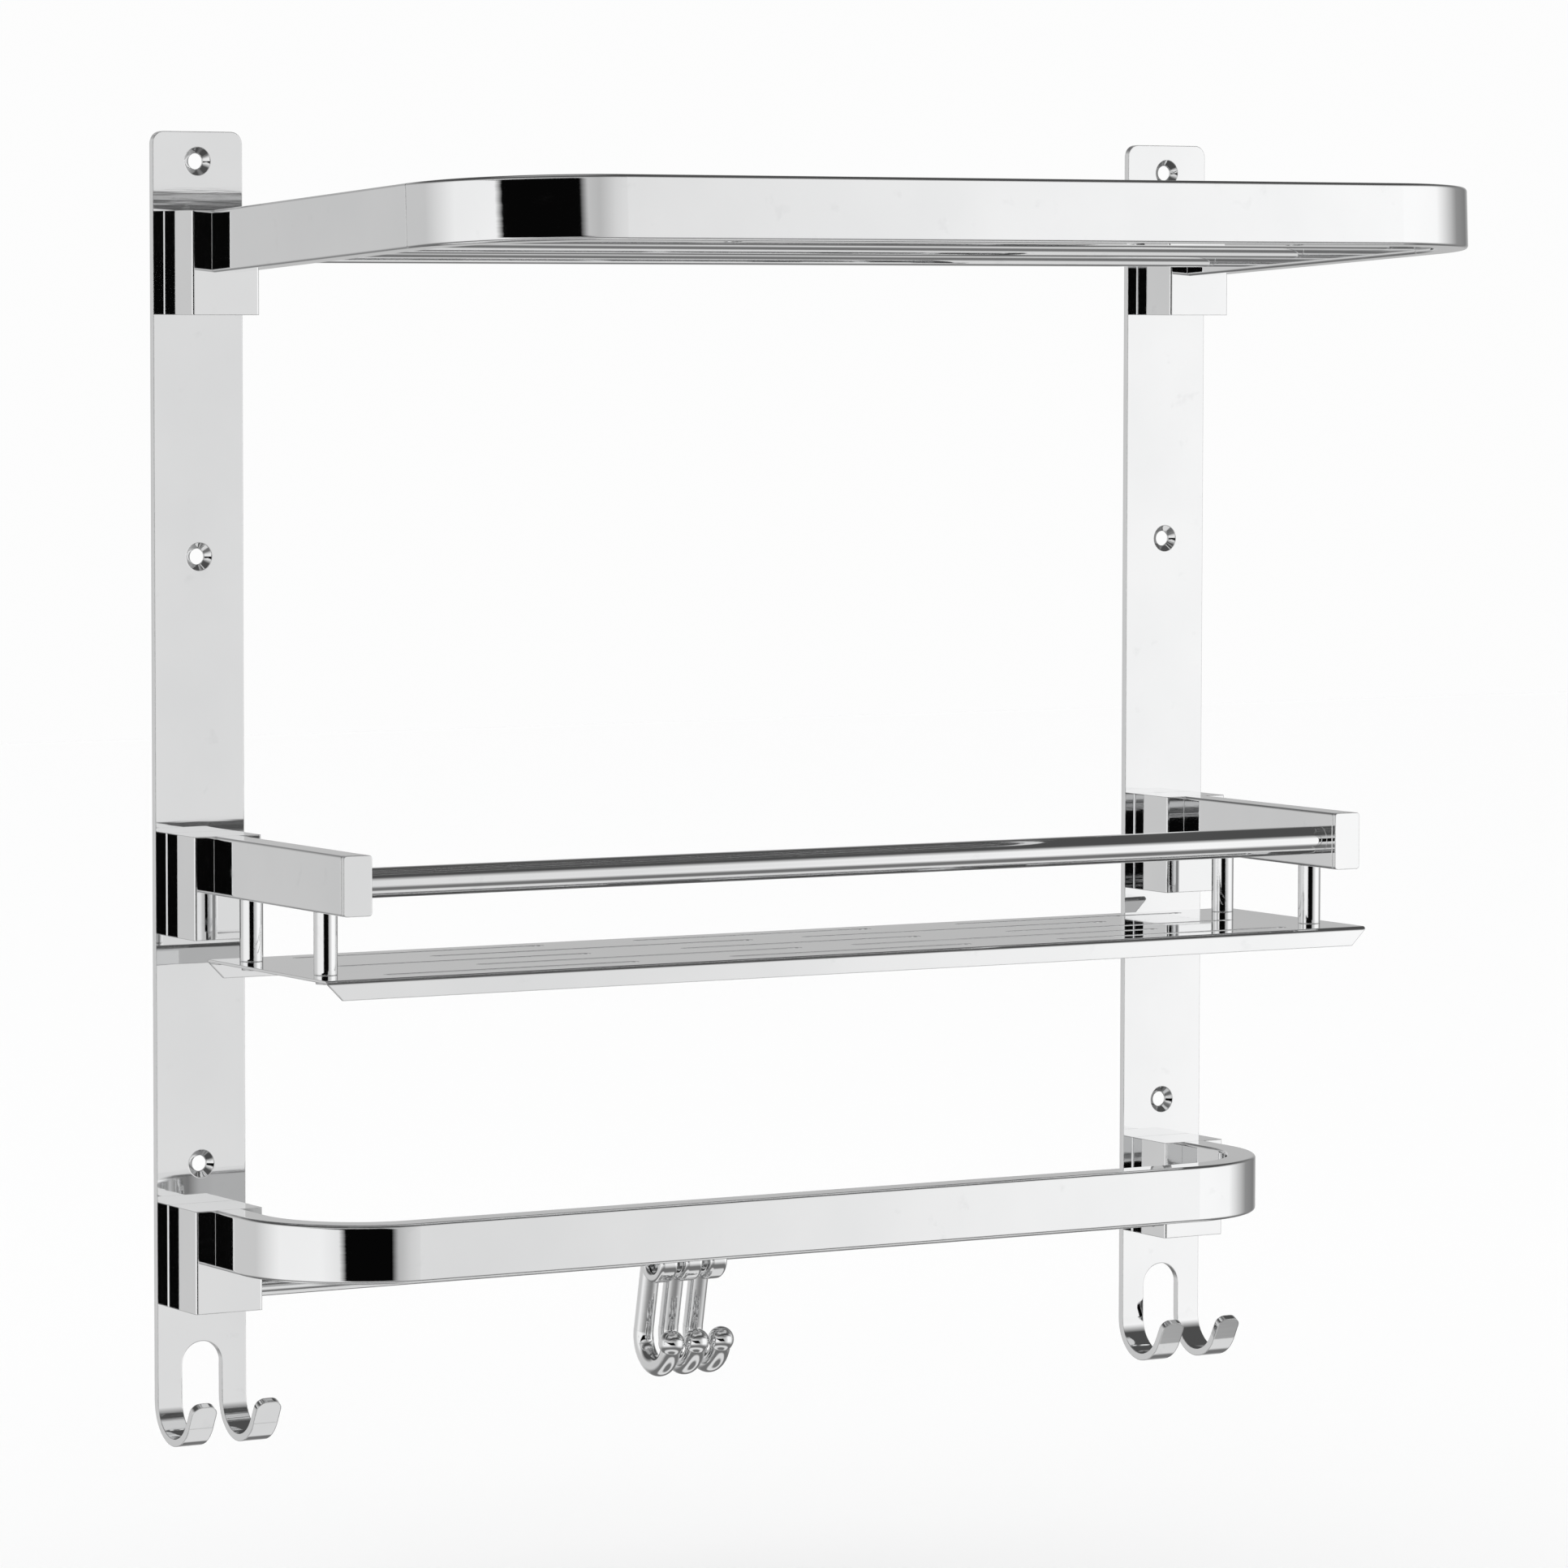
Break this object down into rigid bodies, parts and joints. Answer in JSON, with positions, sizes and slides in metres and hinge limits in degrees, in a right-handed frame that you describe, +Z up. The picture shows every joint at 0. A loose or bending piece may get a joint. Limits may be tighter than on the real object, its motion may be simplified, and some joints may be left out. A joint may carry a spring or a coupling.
{
  "type": "towel rack",
  "caption": "Wall towel rack: two slotted uprights, a rounded towel shelf with rods, a slit tray with guard rail, a towel bar, hooks sliding on a thin rail and prong hooks.",
  "frame": {"origin": "centre of the rectangle of the four outer wall holes, on the wall plane", "axes": "+Z up along the uprights, -Y out of the wall towards the user, +X to the right seen from the front"},
  "size_m": [0.51, 0.2603, 0.533],
  "materials": {
    "polished": "polished",
    "satin_steel": "satin"
  },
  "bodies": {
    "rack": {"upright_left": "polished", "upright_right": "polished", "bracket_upper_left": "polished", "bracket_upper_right": "polished", "bracket_middle_left": "polished", "bracket_middle_right": "polished", "bracket_lower_left": "polished", "bracket_lower_right": "polished", "shelf_arm_left": "polished", "shelf_arm_right": "polished", "shelf_front_tube": "polished", "shelf_rod_rear": "polished", "shelf_rod_middle": "polished", "shelf_rod_front": "polished", "tray_arm_left": "polished", "tray_arm_right": "polished", "arm_cap_left": "polished", "arm_cap_right": "polished", "guard_rail": "polished", "post_rear_left": "polished", "post_rear_right": "polished", "post_front_left": "polished", "post_front_right": "polished", "tray": "polished", "towel_bar": "polished", "hook_rail": "polished", "tube_plugs": "satin_steel", "bracket_screws_long": "satin_steel", "bracket_screws_short": "satin_steel", "tray_screws": "satin_steel"},
    "hook_1": {"sliding_hook_1": "polished"},
    "hook_2": {"sliding_hook_2": "polished"},
    "hook_3": {"sliding_hook_3": "polished"}
  },
  "joints": [
    {"name": "hook_1_slide", "type": "slide", "parent": "rack", "child": "hook_1", "axis": [1, 0, 0], "range_m": [-0.175, 0]},
    {"name": "hook_2_slide", "type": "slide", "parent": "rack", "child": "hook_2", "axis": [1, 0, 0], "range_m": [-0.0004, 0.0004]},
    {"name": "hook_3_slide", "type": "slide", "parent": "rack", "child": "hook_3", "axis": [1, 0, 0], "range_m": [0, 0.19]}
  ]
}
